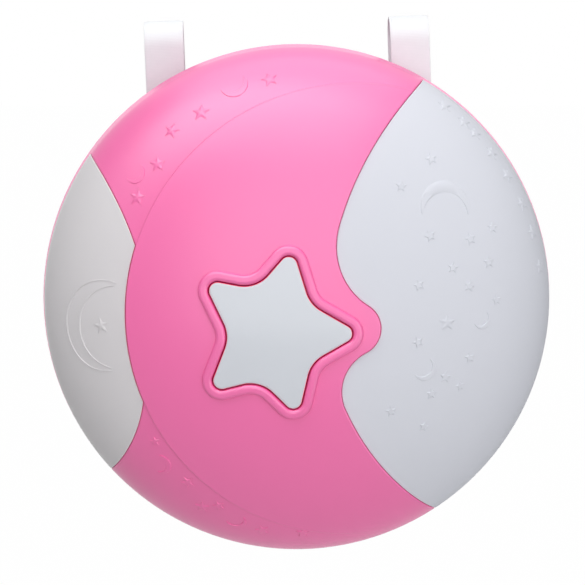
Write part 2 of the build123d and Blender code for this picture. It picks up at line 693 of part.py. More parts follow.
def rear_housing():
    """Pink rear shell with the battery box, the screw pillars and the seats of what it carries."""
    full = rear_form()
    root = rear_form(BOSS_ROOT)
    shell = full - rear_form(WALL)

    tongue_radius = BODY_RADIUS - LENS_WALL - TONGUE_GAP
    tongue_root = Circle(BODY_RADIUS - WALL / 2) - Circle(tongue_radius - TONGUE_WALL)
    shell += along_y(tongue_root, TONGUE_ROOT - REAR_DEPTH, -REAR_DEPTH)
    tongue = Circle(tongue_radius) - Circle(tongue_radius - TONGUE_WALL)
    shell += along_y(tongue, -REAR_DEPTH, -REAR_DEPTH - TONGUE_REACH)

    for place in housing_boss_places():
        shell += rod(place, PILLAR_RADIUS, 0, -REAR_DEPTH) & root
    for place in light_board_holes():
        shell += rod(place, LIGHT_PILLAR_RADIUS, 0, LIGHT_BOARD_BACK) & root
    for side in STRAP_SLOTS:
        shell += slot_block(side, STRAP_PAD_RIM, 0, STRAP_PAD_DEPTH) & root

    seat_size = [size + 2 * DOOR_SEAT_RIM for size in DOOR_SIZE]
    shell += block((0, 0), seat_size, -WALL / 2, DOOR_SEAT - DOOR_SEAT_WALL, DOOR_CORNER + DOOR_SEAT_RIM)
    box_size = (2 * (BOX_HALF_LENGTH + BOX_WALL), 2 * (BOX_HALF_HEIGHT + BOX_WALL))
    shell += block((0, 0), box_size, DOOR_SEAT, BOX_FRONT)
    door_boss_front = DOOR_SEAT - DOOR_SCREW_LENGTH - SCREW_TIP_ROOM - WALL / 2
    for side in (-1, 1):
        shell += rod((side * DOOR_SCREW_X, 0), DOOR_BOSS_RADIUS, DOOR_SEAT, door_boss_front)

    pad_size = [size + 2 * MODE_PAD_RIM for size in MODE_POCKET[:2]]
    shell += block(MODE_PLACE, pad_size, -WALL / 2, MODE_WALL_FRONT, MODE_POCKET_CORNER)
    rib_x = MODE_BODY[0] / 2 + MODE_RIB_GAP + MODE_RIB_WALL / 2
    for side in (-1, 1):
        rib_place = (MODE_PLACE[0] + side * rib_x, MODE_PLACE[1])
        rib_size = (MODE_RIB_WALL, MODE_BODY[1])
        shell += block(rib_place, rib_size, MODE_WALL_FRONT, MODE_WALL_FRONT - MODE_BODY[2])

    door_hole = [size + 2 * DOOR_GAP for size in DOOR_SIZE]
    shell -= block((0, 0), door_hole, 0, DOOR_SEAT, DOOR_CORNER + DOOR_GAP)
    shell -= block((0, 0), (2 * BOX_HALF_LENGTH, 2 * BOX_HALF_HEIGHT), 0, BOX_FLOOR)
    for side in (-1, 1):
        shell -= rod((side * DOOR_SCREW_X, 0), SCREW_HOLE, 0, DOOR_SEAT - DOOR_SCREW_LENGTH - SCREW_TIP_ROOM)
    for place in housing_boss_places():
        shell -= rod(place, HEAD_HOLE, 0, HOUSING_SCREW_SEAT)
        shell -= rod(place, SCREW_HOLE, 0, -REAR_DEPTH)
    for place in light_board_holes():
        tip = LIGHT_BOARD_FRONT + LIGHT_SCREW_LENGTH + SCREW_TIP_ROOM
        shell -= rod(place, SCREW_HOLE, tip, LIGHT_BOARD_BACK)
    for side in STRAP_SLOTS:
        shell -= slot_block(side, 0, 0, STRAP_PAD_DEPTH)
    shell -= block(MODE_PLACE, MODE_POCKET[:2], 0, -MODE_POCKET[2], MODE_POCKET_CORNER)
    shell -= block(MODE_PLACE, MODE_SLOT, 0, MODE_WALL_FRONT)
    return shell


def cell_rows():
    """Z of each cell and the way its nub points: every other cell is turned round."""
    return [(-CELL_PITCH, 1), (0.0, -1), (CELL_PITCH, 1)]


def across(height, start, end, radius):
    """Round bar along X on the axis of a cell."""
    middle = (start + end) / 2
    return Pos(middle, CELL_AXIS, height) * Rot(0, 90, 0) * Cylinder(radius, abs(end - start))


def battery(row):
    """AA cell with its nub against the contact plate."""
    height, way = cell_rows()[row]
    nub_end = way * (BOX_HALF_LENGTH - CONTACT_WALL - CELL_END_ROOM)
    shoulder = nub_end - way * NUB_LENGTH
    can = across(height, shoulder - way * CELL_LENGTH, shoulder, CELL_RADIUS)
    return can + across(height, shoulder, nub_end, NUB_RADIUS)


def contact_plates():
    """Six plates on the end walls of the battery box."""
    plates = []
    for height, way in cell_rows():
        for end in (-1, 1):
            x = end * (BOX_HALF_LENGTH - CONTACT_WALL / 2)
            plates.append(Pos(x, CELL_AXIS, height) * Box(CONTACT_WALL, CONTACT_SIDE, CONTACT_SIDE))
    return plates


def contact_springs():
    """Coil at the flat end of each cell."""
    coils = []
    for height, way in cell_rows():
        base = (-way * (BOX_HALF_LENGTH - CONTACT_WALL), CELL_AXIS, height)
        size = (CONTACT_SPRING_LENGTH, CONTACT_SPRING_RADIUS, CONTACT_SPRING_WIRE, CONTACT_SPRING_TURNS)
        coils.append(coil(base, (way, 0, 0), *size))
    return coils


def battery_door():
    """Door flush with the flat back, with grip grooves and two countersunk screw holes."""
    door = block((0, 0), DOOR_SIZE, 0, -DOOR_WALL, DOOR_CORNER)
    for side in (-1, 1):
        place = (side * DOOR_SCREW_X, 0)
        door -= rod(place, HEAD_HOLE, 0, -DOOR_SCREW_HEAD_ROOM)
        door -= rod(place, SCREW_HOLE, 0, -DOOR_WALL)
    for count in range(DOOR_GROOVE_COUNT):
        height = DOOR_GROOVE_HEIGHT + (count - (DOOR_GROOVE_COUNT - 1) / 2) * DOOR_GROOVE_PITCH
        door -= block((0, height), DOOR_GROOVE[:2], 0, -DOOR_GROOVE[2])
    return door


def door_screws():
    """Captive screws of the battery door, with heads just below its face."""
    head = DOOR_SCREW_HEAD_ROOM - DOOR_SCREW_SUNK
    places = [(side * DOOR_SCREW_X, 0) for side in (-1, 1)]
    return [screw(place, -DOOR_SCREW_HEAD_ROOM, DOOR_SCREW_LENGTH, 1, head) for place in places]


def mode_switch():
    """Body of the slide switch, against the inside of the back."""
    body = block(MODE_PLACE, MODE_BODY[:2], MODE_WALL_FRONT, MODE_WALL_FRONT - MODE_BODY[2])
    return body - block(MODE_PLACE, MODE_SLOT, MODE_WALL_FRONT, MODE_WALL_FRONT - MODE_CAVITY_DEPTH)


def mode_knob():
    """Knob of the slide switch at its off end, sunk below the flat back."""
    place = (MODE_PLACE[0] - MODE_TRAVEL / 2, MODE_PLACE[1])
    foot = MODE_WALL_FRONT - MODE_CAVITY_DEPTH + MODE_GAP
    return block(place, MODE_KNOB, -MODE_KNOB_SUNK, foot)


def strap_path(side):
    """Middle line of a strap in (Y, Z) from its slot: out, over the rail, back and up to the tail."""
    top = BODY_RADIUS + STRAP_TOPS[side] - strap_slot_height(side) - STRAP_WALL / 2
    foot_radius = (STRAP_FRONT + 2 * LOOP_RADIUS - TAIL_LEVEL) / 2
    out = Line((HEM_LEVEL + HEM_RADIUS - STRAP_WALL / 2, 0), (STRAP_FRONT - STRAP_BEND, 0))
    turn_up = JernArc(out @ 1, out % 1, STRAP_BEND, 90)
    rise = Line(turn_up @ 1, (STRAP_FRONT, top - LOOP_RADIUS))
    over = JernArc(rise @ 1, rise % 1, LOOP_RADIUS, -180)
    fall = Line(over @ 1, (STRAP_FRONT + 2 * LOOP_RADIUS, LOOP_FOOT))
    under = JernArc(fall @ 1, fall % 1, foot_radius, -180)
    tail = Line(under @ 1, (TAIL_LEVEL, LOOP_FOOT + PATCH_LENGTH + 2 * PATCH_MARGIN))
    return [out, turn_up, rise, over, fall, under, tail]


def across_strap(side, sketch, width):
    """Prism of a (Y, Z) sketch across a strap, set at the strap's slot."""
    return strap_place(side) * extrude(Plane.YZ * sketch, amount=width / 2, both=True)


def strap(side):
    """Strap loop with a sewn hem round its pin."""
    ribbon = trace(strap_path(side), line_width=STRAP_WALL)
    hem = Pos(HEM_LEVEL, 0) * Circle(HEM_RADIUS)
    ring = (ribbon + hem) - Pos(HEM_LEVEL, 0) * Circle(PIN_RADIUS + PIN_GAP)
    return across_strap(side, ring, STRAP_WIDTH)


def strap_pins():
    """Pins that stop the hems from pulling through the slots."""
    pin = Pos(HEM_LEVEL, 0) * Circle(PIN_RADIUS)
    return [across_strap(side, pin, STRAP_WIDTH + 2 * PIN_OVERHANG) for side in STRAP_SLOTS]


def patches(level):
    """One fastening patch on each strap, at a depth between the front run and the tail."""
    middle = (level + PATCH_WALL / 2, LOOP_FOOT + PATCH_MARGIN + PATCH_LENGTH / 2)
    outline = Pos(*middle) * Rectangle(PATCH_WALL, PATCH_SIZE[1])
    return [across_strap(side, outline, PATCH_SIZE[0]) for side in STRAP_SLOTS]


def battery_lead(side):
    """Wire from the front of the battery box to the back of the control board."""
    x = side * BATTERY_LEAD_SPREAD
    end_x, end_z = on_board((BATTERY_LEAD_PLACE[0] + x, BATTERY_LEAD_PLACE[1]))
    third = (BOARD_BACK - BOX_FRONT) / 3
    return lead(
        [
            (x, BOX_FRONT, 0),
            (x, BOX_FRONT + third, 0),
            (end_x, BOARD_BACK - third, end_z),
            (end_x, BOARD_BACK, end_z),
        ]
    )


def lens_lead():
    """Wire from the back of the control board to the front of the light board."""
    start_x, start_z = on_board(LENS_LEAD_PLACE)
    end_x, end_z = LIGHT_BOARD_X + LENS_LEAD_END[0], LENS_LEAD_END[1]
    turn = LIGHT_BOARD_FRONT - LENS_LEAD_RISE
    return lead(
        [
            (start_x, BOARD_BACK, start_z),
            (start_x, BOARD_BACK + LENS_LEAD_DROP, start_z),
            ((start_x + end_x) / 2, turn - LENS_LEAD_SAG, end_z),
            (end_x, turn, end_z),
            (end_x, LIGHT_BOARD_FRONT, end_z),
        ]
    )


def mode_lead():
    """Wire from the mode switch to the back of the control board."""
    start = MODE_WALL_FRONT - MODE_BODY[2]
    end_x, end_z = on_board(MODE_LEAD_PLACE)
    return lead(
        [
            (MODE_PLACE[0], start, MODE_PLACE[1]),
            (MODE_PLACE[0], start - MODE_LEAD_RISE, MODE_PLACE[1]),
            (end_x, BOARD_BACK + MODE_LEAD_DROP, end_z),
            (end_x, BOARD_BACK, end_z),
        ]
    )


def write(name, shape):
    """Write one node: a single solid or a group of like solids."""
    shape = Compound(children=shape) if isinstance(shape, list) else shape
    export_step(shape, f"parts/{name}.step")


write("rear_housing", rear_housing())
write("front_cover", front_cover())
write("right_lens", lapped_piece(lens_outline(), LENS_BOSS_ANGLES))
write("left_panel", lapped_piece(panel_outline(), PANEL_BOSS_ANGLES))
write("star_button", star_button())
write("button_springs", button_springs())
write("button_plate", button_plate())
write("plate_screws", plate_screws())
write("control_board", control_board())
write("control_chip", control_chip())
write("board_parts", board_parts())
write("board_screws", board_screws())
write("switch_body", switch_body())
write("switch_stem", switch_stem())
write("star_leds", star_leds())
write("light_board", light_board())
write("lens_leds", lens_leds())
write("light_board_screws", light_board_screws())
write("housing_screws", housing_screws())
for row in range(len(cell_rows())):
    write(f"battery_{row + 1}", battery(row))
write("contact_plates", contact_plates())
write("contact_springs", contact_springs())
write("battery_door", battery_door())
write("door_screws", door_screws())
write("mode_switch", mode_switch())
write("mode_knob", mode_knob())
for side in STRAP_SLOTS:
    write(f"strap_{side}", strap(side))
write("strap_pins", strap_pins())
write("hook_patches", patches(STRAP_FRONT + STRAP_WALL / 2))
write("loop_patches", patches(STRAP_FRONT + STRAP_WALL / 2 + PATCH_WALL))
write("battery_lead_red", battery_lead(1))
write("battery_lead_black", battery_lead(-1))
write("lens_lead", lens_lead())
write("mode_lead", mode_lead())
print_coil_gap("button springs", SPRING_LENGTH, SPRING_WIRE, SPRING_TURNS)
print_coil_gap("contact springs", CONTACT_SPRING_LENGTH, CONTACT_SPRING_WIRE, CONTACT_SPRING_TURNS)
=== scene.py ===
import bmesh
import bpy
from math import ceil, cos, hypot, pi, radians, sin, sqrt
from mathutils import Matrix, Vector


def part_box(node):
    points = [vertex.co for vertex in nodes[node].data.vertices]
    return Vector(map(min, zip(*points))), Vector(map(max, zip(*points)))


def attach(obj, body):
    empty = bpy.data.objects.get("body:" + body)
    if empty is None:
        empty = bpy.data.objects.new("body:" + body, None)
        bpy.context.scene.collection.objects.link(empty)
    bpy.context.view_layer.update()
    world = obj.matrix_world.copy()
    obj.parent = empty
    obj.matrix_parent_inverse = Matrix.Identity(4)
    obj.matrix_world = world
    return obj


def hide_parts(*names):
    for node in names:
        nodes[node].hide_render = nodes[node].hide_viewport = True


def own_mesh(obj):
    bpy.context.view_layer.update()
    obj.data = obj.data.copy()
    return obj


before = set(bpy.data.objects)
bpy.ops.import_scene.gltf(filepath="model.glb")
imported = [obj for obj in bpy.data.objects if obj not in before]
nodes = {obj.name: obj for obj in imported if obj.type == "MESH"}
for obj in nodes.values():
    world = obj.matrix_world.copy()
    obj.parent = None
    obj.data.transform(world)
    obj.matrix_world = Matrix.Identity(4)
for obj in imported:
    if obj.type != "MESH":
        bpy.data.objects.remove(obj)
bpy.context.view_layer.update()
bpy.ops.object.select_all(action="DESELECT")


# Rear housing
# The pink back half of the shell, moulded with the battery box, the screw pillars and the strap slots.
# Everything else is screwed or clipped to it. The plastic has a fine satin grain and a slow drift of colour.

MM = 0.001
PINK = (0.91, 0.113, 0.39, 1)
DEEPER_PINK = (0.89, 0.107, 0.375, 1)
DRIFT_SCALE = 12.0  # patches to the metre in the drift of colour
GRAIN_SCALE = 1400.0  # lumps to the metre in the grain
DRIFT_SHEEN = 0.04  # how far the drift and the grain change the roughness
GRAIN_SHEEN = 0.08
GRAIN_STRENGTH = 0.35


class Shade:
    """A socket in a material. Sums and products of sockets add Math nodes, and node() adds any other node."""

    def __init__(self, tree, socket=None):
        self.tree = tree
        self.socket = socket

    def node(self, kind, settings, inputs, output=0):
        """New node with its settings and the values or links of its inputs. Gives one of its outputs."""
        made = self.tree.nodes.new(kind)
        for name, value in settings.items():
            setattr(made, name, value)
        for name, value in inputs.items():
            if isinstance(value, Shade):
                self.tree.links.new(value.socket, made.inputs[name])
            else:
                made.inputs[name].default_value = value
        return Shade(self.tree, made.outputs[output])

    def maths(self, operation, first, second=0.0):
        return self.node("ShaderNodeMath", {"operation": operation}, {0: first, 1: second})

    def __add__(self, other):
        return self.maths("ADD", self, other)

    def __sub__(self, other):
        return self.maths("SUBTRACT", self, other)

    def __rsub__(self, other):
        return self.maths("SUBTRACT", other, self)

    def __mul__(self, other):
        return self.maths("MULTIPLY", self, other)

    __radd__ = __add__
    __rmul__ = __mul__

    def place(self):
        """Place on the piece, in metres."""
        return self.node("ShaderNodeTexCoord", {}, {}, "Object")

    def noise(self, scale, detail=2.0):
        """Noise over the places in this socket."""
        return self.node("ShaderNodeTexNoise", {}, {"Vector": self, "Scale": scale, "Detail": detail})

    def ramp(self, low, high):
        """Goes smoothly from 0 at low to 1 at high."""
        ends = {"Value": self, "From Min": low, "From Max": high}
        return self.node("ShaderNodeMapRange", {"interpolation_type": "SMOOTHSTEP"}, ends)

    def blend(self, first, second):
        """Mix of two colours, with this socket as the share of the second."""
        return self.node("ShaderNodeMix", {"data_type": "RGBA"}, {0: self, 6: first, 7: second}, 2)

    def feed(self, shader, name):
        """Link this socket to an input of a shader."""
        self.tree.links.new(self.socket, shader.inputs[name])

    def bump(self, shader, strength, depth):
        """Roughen a shader's skin, with this socket as the height."""
        inputs = {"Strength": strength, "Distance": depth, "Height": self}
        self.node("ShaderNodeBump", {}, inputs).feed(shader, "Normal")


def shader_of(material):
    """The Principled shader of a material."""
    return material.node_tree.nodes["Principled BSDF"]


def new_material(name):
    """Material with its Principled shader, and a shade to start its nodes from."""
    material = bpy.data.materials.new(name)
    material.use_nodes = True
    return material, shader_of(material), Shade(material.node_tree)


def moulded_plastic(name, colour, drift_colour, roughness, grain_depth):
    """Moulded plastic: a slow drift between two colours, an uneven sheen and a fine grain in the skin."""
    material, shader, start = new_material(name)
    place = start.place()
    drift = place.noise(DRIFT_SCALE)
    grain = place.noise(GRAIN_SCALE)
    drift.blend(colour, drift_colour).feed(shader, "Base Color")
    smoothest = roughness - (DRIFT_SHEEN + GRAIN_SHEEN) / 2
    (grain * GRAIN_SHEEN + drift * DRIFT_SHEEN + smoothest).feed(shader, "Roughness")
    grain.bump(shader, GRAIN_STRENGTH, grain_depth)
    return material


def paint(material, *names):
    """Give CAD nodes a material."""
    for name in names:
        nodes[name].data.materials.clear()
        nodes[name].data.materials.append(material)


pink = moulded_plastic("pink_plastic", PINK, DEEPER_PINK, roughness=0.36, grain_depth=0.02 * MM)
shader_of(pink).inputs["Specular IOR Level"].default_value = 1.0
shader_of(pink).inputs["IOR"].default_value = 1.6
paint(pink, "rear_housing")


# Battery box
# Three AA cells lie head to tail between plated steel contacts, in the box moulded into the rear housing.
# A cell is a drawn steel can in a plain shrink sleeve, and a coil of spring wire presses on its flat end.

CELL_POINTS = 48  # round each ring of a cell
CELL_SMOOTH = radians(40)
# Radius and height in millimetres of each ring of a cell, from the flat end to the nub
CELL_RINGS = [
    (4.6, 0.0), (4.9, 0.25), (5.5, 0.25), (5.9, 0.0), (6.7, 0.05), (7.05, 0.5), (7.05, 48.6), (6.8, 49.05),
    (6.3, 49.2), (5.8, 48.9), (5.4, 48.6), (4.0, 48.7), (3.2, 49.0), (2.75, 49.3), (2.75, 50.0), (2.4, 50.4),
]
CELL_NUB_END = CELL_RINGS[-1][1]
SLEEVE_ENDS = (0.4, 49.1)  # the sleeve covers the can between these heights, outside the rolled edges
SLEEVE_EDGE = 5.7  # radius of the rolled edges
NUB_BAND_START = 40  # height where the grey band of the sleeve starts
SLEEVE_GREEN = (0.03, 0.11, 0.07, 1)
BAND_GREY = (0.32, 0.32, 0.33, 1)
BARE_STEEL = (0.6, 0.6, 0.6, 1)
SCUFF_SCALE = 500.0
STEEL_GREY = (0.62, 0.62, 0.63, 1)
DULL_STEEL = (0.496, 0.496, 0.504, 1)
DRAWN_LINES = (3000.0, 150.0, 3000.0)  # lumps to the metre, long along Y
DRAWN_DEPTH = 0.02 * MM
DULL_SCALE = 220.0
WIRE_POINTS = 10  # round the wire of a spring
TURN_STEPS = 28  # along each of its turns
COIL_SMOOTH = radians(50)
CONTACT_COIL_LENGTH = 5.2 * MM
CONTACT_COIL_RADIUS = 3.2 * MM
CONTACT_WIRE = 0.7 * MM
CONTACT_TURNS = 3
NUB_WAYS = {"battery_1": 1, "battery_2": -1, "battery_3": 1}  # every other cell is turned round


def enter_edit():
    """Edit mode with everything selected."""
    bpy.ops.object.mode_set(mode="EDIT")
    bpy.ops.mesh.select_all(action="SELECT")


def leave_edit():
    """Turn every face outwards and go back to object mode."""
    bpy.ops.mesh.select_all(action="SELECT")
    bpy.ops.mesh.normals_make_consistent(inside=False)
    bpy.ops.object.mode_set(mode="OBJECT")


def turned(name, rings):
    """Round piece along Z, drawn up ring by ring from a disc."""
    radius, height = rings[0]
    bpy.ops.mesh.primitive_circle_add(vertices=CELL_POINTS, radius=radius * MM, fill_type="NGON")
    piece = bpy.context.object
    piece.name = name
    enter_edit()
    for next_radius, next_height in rings[1:]:
        lift = (0, 0, (next_height - height) * MM)
        bpy.ops.mesh.extrude_region_move(TRANSFORM_OT_translate={"value": lift})
        share = next_radius / radius
        bpy.ops.transform.resize(value=(share, share, 1))
        radius, height = next_radius, next_height
    leave_edit()
    bpy.ops.object.shade_smooth_by_angle(angle=CELL_SMOOTH)
    return piece


def copy_of(piece, name, matrix):
    """Copy of a piece with its own mesh, moved by a matrix."""
    twin = piece.copy()
    twin.data = piece.data.copy()
    twin.name = name
    twin.data.transform(matrix)
    bpy.context.collection.objects.link(twin)
    return twin


def fix(piece, material, body):
    """Give a finished piece its material and its body."""
    piece.data.materials.clear()
    piece.data.materials.append(material)
    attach(piece, body)


def spring(name, length, radius, wire, turns):
    """Coil along Z from the origin, with a closed turn at each end."""
    bpy.ops.mesh.primitive_circle_add(vertices=WIRE_POINTS, radius=wire / 2)
    piece = bpy.context.object
    piece.name = name
    enter_edit()
    bpy.ops.transform.rotate(value=pi / 2, orient_axis="X", center_override=(0, 0, 0))
    bpy.ops.transform.translate(value=(radius, 0, wire / 2))
    bpy.ops.object.mode_set(mode="OBJECT")
    winding = piece.modifiers.new("winding", "SCREW")
    winding.angle = 2 * pi * turns
    winding.screw_offset = length - wire
    winding.steps = winding.render_steps = TURN_STEPS * turns
    bpy.ops.object.modifier_apply(modifier=winding.name)
    # The two end turns rise by one wire each, and the turns between them share the rest
    pitch = (length - 3 * wire) / (turns - 2)
    for index, vertex in enumerate(piece.data.vertices):
        turn = index // WIRE_POINTS / TURN_STEPS
        closed = wire * min(turn, 1) + wire * max(turn - turns + 1, 0)
        open_turns = min(max(turn - 1, 0), turns - 2)
        vertex.co.z += closed + pitch * open_turns - turn * (length - wire) / turns
    enter_edit()
    bpy.ops.mesh.fill_holes(sides=0)
    leave_edit()
    bpy.ops.object.shade_smooth_by_angle(angle=COIL_SMOOTH)
    return piece


def join(pieces, name):
    """One object of several pieces."""
    bpy.ops.object.select_all(action="DESELECT")
    for piece in pieces:
        piece.select_set(True)
    bpy.context.view_layer.objects.active = pieces[0]
    bpy.ops.object.join()
    pieces[0].name = name
    return pieces[0]


def drawn_steel(name):
    """Plated steel with fine drawn lines along Y and a patchy sheen."""
    material, shader, start = new_material(name)
    place = start.place()
    drawn = start.node("ShaderNodeMapping", {}, {"Vector": place, "Scale": DRAWN_LINES}).noise(1.0)
    dull = place.noise(DULL_SCALE, 3.0)
    dull.blend(STEEL_GREY, DULL_STEEL).feed(shader, "Base Color")
    (drawn * 0.15 + dull * 0.1 + 0.23).feed(shader, "Roughness")
    drawn.bump(shader, strength=0.3, depth=DRAWN_DEPTH)
    shader.inputs["Metallic"].default_value = 1.0
    return material


def sleeved_can(name):
    """Green shrink sleeve with a grey band at the nub end, and bare steel where the sleeve stops."""
    material, shader, start = new_material(name)
    bare = start.node("ShaderNodeAttribute", {"attribute_name": "bare_steel"}, {}, "Fac")
    band = start.node("ShaderNodeAttribute", {"attribute_name": "nub_band"}, {}, "Fac")
    scuff = start.place().noise(SCUFF_SCALE, 4.0)
    sleeve = band.blend(SLEEVE_GREEN, BAND_GREY)
    bare.blend(sleeve, BARE_STEEL).feed(shader, "Base Color")
    bare.feed(shader, "Metallic")
    (scuff * 0.2 + 0.2).feed(shader, "Roughness")
    return material


def mark_points(piece, name, test):
    """Float attribute that is 1 at the vertices that pass a test of their place in millimetres."""
    marks = piece.data.attributes.new(name, "FLOAT", "POINT")
    for vertex, mark in zip(piece.data.vertices, marks.data):
        mark.value = float(test(vertex.co / MM))


def is_bare(place):
    """True where the sleeve leaves a cell's can bare."""
    low, high = SLEEVE_ENDS
    return hypot(place.x, place.y) < SLEEVE_EDGE or not low < place.z < high


steel = drawn_steel("plated_steel")
paint(steel, "contact_plates")
cell_sleeve = sleeved_can("cell_sleeve")
cell = turned("cell", CELL_RINGS)
mark_points(cell, "bare_steel", is_bare)
mark_points(cell, "nub_band", lambda place: place.z > NUB_BAND_START)
contact_coil = spring("contact_coil", CONTACT_COIL_LENGTH, CONTACT_COIL_RADIUS, CONTACT_WIRE, CONTACT_TURNS)
coil_low, coil_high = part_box("contact_springs")
coils = []
for name, way in NUB_WAYS.items():
    low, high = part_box(name)
    axis_turn = Matrix.Rotation(way * pi / 2, 4, "Y")
    nub_end = Vector((high.x if way > 0 else low.x, (low.y + high.y) / 2, (low.z + high.z) / 2))
    foot = nub_end - Vector((way * CELL_NUB_END * MM, 0, 0))
    twin = copy_of(cell, f"{name}_cell", Matrix.Translation(foot) @ axis_turn)
    fix(twin, cell_sleeve, "housing")
    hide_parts(name)
    coil_foot = Vector((coil_low.x if way > 0 else coil_high.x, foot.y, foot.z))
    coils.append(copy_of(contact_coil, f"coil_{name}", Matrix.Translation(coil_foot) @ axis_turn))
contact_coils = join(coils, "contact_coils")
fix(contact_coils, steel, "housing")
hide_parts("contact_springs")
bpy.data.objects.remove(cell)
bpy.data.objects.remove(contact_coil)


# Battery door
# The pink door in the flat back, with finger grooves moulded in it.
# Two captive screws hold it to the rear housing, and their heads lie just below its face.

paint(pink, "battery_door")
paint(steel, "door_screws", "housing_screws")


# Mode switch
# A slide switch behind the back, with a black knob that is pushed along with a fingertip.
# The switch body is clipped between two ribs of the rear housing.

BLACK = (0.012, 0.012, 0.014, 1)
GREYER_BLACK = (0.018, 0.018, 0.02, 1)
black = moulded_plastic("black_plastic", BLACK, GREYER_BLACK, roughness=0.45, grain_depth=0.02 * MM)
paint(black, "mode_switch", "mode_knob")


# Light board and leads
# A narrow circuit board with three lamps behind the lens, screwed to two pillars of the rear housing.
# The lamps are cast clear plastic, and the leads are insulated wire soldered at both ends.

MASK_GREEN = (0.012, 0.085, 0.03, 1)
TRACK_GREEN = (0.03, 0.16, 0.06, 1)
TRACK_SCALE = 320.0
TRACK_EDGE = 0.42  # distance in the pattern from which copper lies below the mask
TRACK_DEPTH = 0.03 * MM
LAMP_CLEAR = (0.86, 0.87, 0.82, 1)
DEEPER_CLEAR = (0.8, 0.82, 0.76, 1)
WIRE_RED = (0.36, 0.008, 0.008, 1)
DEEPER_RED = (0.3, 0.006, 0.006, 1)
WIRE_WHITE = (0.7, 0.7, 0.7, 1)
WIRE_GREY = (0.62, 0.62, 0.62, 1)


def circuit_board(name):
    """Green solder mask with the faint pattern of the copper below it."""
    material, shader, start = new_material(name)
    settings = {"feature": "F1", "distance": "CHEBYCHEV"}
    copper = start.node("ShaderNodeTexVoronoi", settings, {"Vector": start.place(), "Scale": TRACK_SCALE})
    tracks = copper.maths("GREATER_THAN", copper, TRACK_EDGE)
    tracks.blend(MASK_GREEN, TRACK_GREEN).feed(shader, "Base Color")
    tracks.bump(shader, strength=0.4, depth=TRACK_DEPTH)
    shader.inputs["Roughness"].default_value = 0.38
    return material


board_green = circuit_board("circuit_board")
paint(board_green, "light_board", "control_board")
lamp_clear = moulded_plastic("clear_lamp", LAMP_CLEAR, DEEPER_CLEAR, roughness=0.12, grain_depth=0.005 * MM)
shader_of(lamp_clear).inputs["Transmission Weight"].default_value = 0.6
paint(lamp_clear, "lens_leds", "star_leds")
wire_red = moulded_plastic("red_wire", WIRE_RED, DEEPER_RED, roughness=0.45, grain_depth=0.01 * MM)
wire_white = moulded_plastic("white_wire", WIRE_WHITE, WIRE_GREY, roughness=0.45, grain_depth=0.01 * MM)
paint(wire_red, "battery_lead_red")
paint(wire_white, "lens_lead", "mode_lead")
paint(black, "battery_lead_black")
paint(steel, "light_board_screws")


# Straps
# White woven ribbon, 18 mm wide. Each strap comes out of a slot in the back, goes over the rail,
# back under it and up to its fastening, and a sewn hem round a steel pin holds its other end inside.

STRAP_WIDTH = 18 * MM
STRAP_WALL = 1.2 * MM
STRAP_LEAN = radians(-2.2)
STRAP_SLOTS = {"left": (-59.3 * MM, 77.645 * MM), "right": (54 * MM, 81.42 * MM)}  # X and Z
LOOP_TOPS = {"left": 126 * MM, "right": 128.4 * MM}  # Z of the strap's middle over the rail
RUN_LEVEL = 2 * MM  # Y of the front run's middle
TURN_UP = 4 * MM  # radius of the bend out of the slot, and of those over and under the rail
OVER_RAIL = 11 * MM
UNDER_RAIL = 9.6 * MM
UNDER_RAIL_HEIGHT = 17 * MM  # where the bend under the rail starts, above the slot
TAIL = 15 * MM
HEM_BEND = 2.25 * MM
HEM_END = radians(-12)  # place of the hem's free end on the circle round the pin
HEM_TURN = radians(-318)  # from there round the pin
HEM_EXIT = radians(60)  # from the pin into the slot
STRAP_STEP = 1.2 * MM
BEND_STEP = radians(7)
STRAP_COLUMNS = 12  # faces across a strap
EDGE_CURL = 0.12 * MM  # how far the edges of a strap bend back
STRAP_SOFT_EDGE = 0.3 * MM
STRAP_EDGE_ANGLE = radians(50)  # sharper edges than this are softened
STRAP_SMOOTH = radians(60)
STRAP_WHITE = (0.86, 0.875, 0.9, 1)
STRAP_SHADE = (0.79, 0.805, 0.83, 1)
RIB_PITCH = 0.7  # millimetres, as the strap's UV map
WARP_PITCH = 0.45
RIB_SHARE = 0.6  # of the ribs in the weave, the rest is warp
BORDER_EDGE = (7.9, 8.1)  # millimetres from the strap's middle
RIBBON_PATCHES = 0.35  # to the millimetre
THREAD_DEPTH = 0.06 * MM


def strap_route(side, hem_level):
    """Legs of a strap from the end of its hem.

    A leg is (length, 0) for a straight run, or (radius, turn) for a bend."""
    rise = LOOP_TOPS[side] - STRAP_SLOTS[side][1] - OVER_RAIL
    hem_foot = hem_level + HEM_BEND * (cos(HEM_END + HEM_TURN) + sin(HEM_EXIT))
    return [
        (HEM_BEND, HEM_TURN),
        (HEM_BEND, HEM_EXIT),
        (RUN_LEVEL - TURN_UP - hem_foot, 0),
        (TURN_UP, pi / 2),
        (rise - TURN_UP, 0),
        (OVER_RAIL, -pi),
        (rise - UNDER_RAIL_HEIGHT, 0),
        (UNDER_RAIL, -pi),
        (TAIL, 0),
    ]


def walk(route, start, heading):
    """Points along a route in (Y, Z): each is the place, the heading and the distance walked."""
    place = Vector(start)
    travel = 0.0
    points = [(place.copy(), heading, travel)]
    for size, turn in route:
        length = size * abs(turn) if turn else size
        steps = ceil(abs(turn) / BEND_STEP) if turn else ceil(length / STRAP_STEP)
        for _ in range(steps):
            chord = 2 * size * sin(abs(turn) / steps / 2) if turn else length / steps
            heading += turn / steps / 2
            place += Vector((cos(heading), sin(heading))) * chord
            heading += turn / steps / 2
            travel += length / steps
            points.append((place.copy(), heading, travel))
    return points


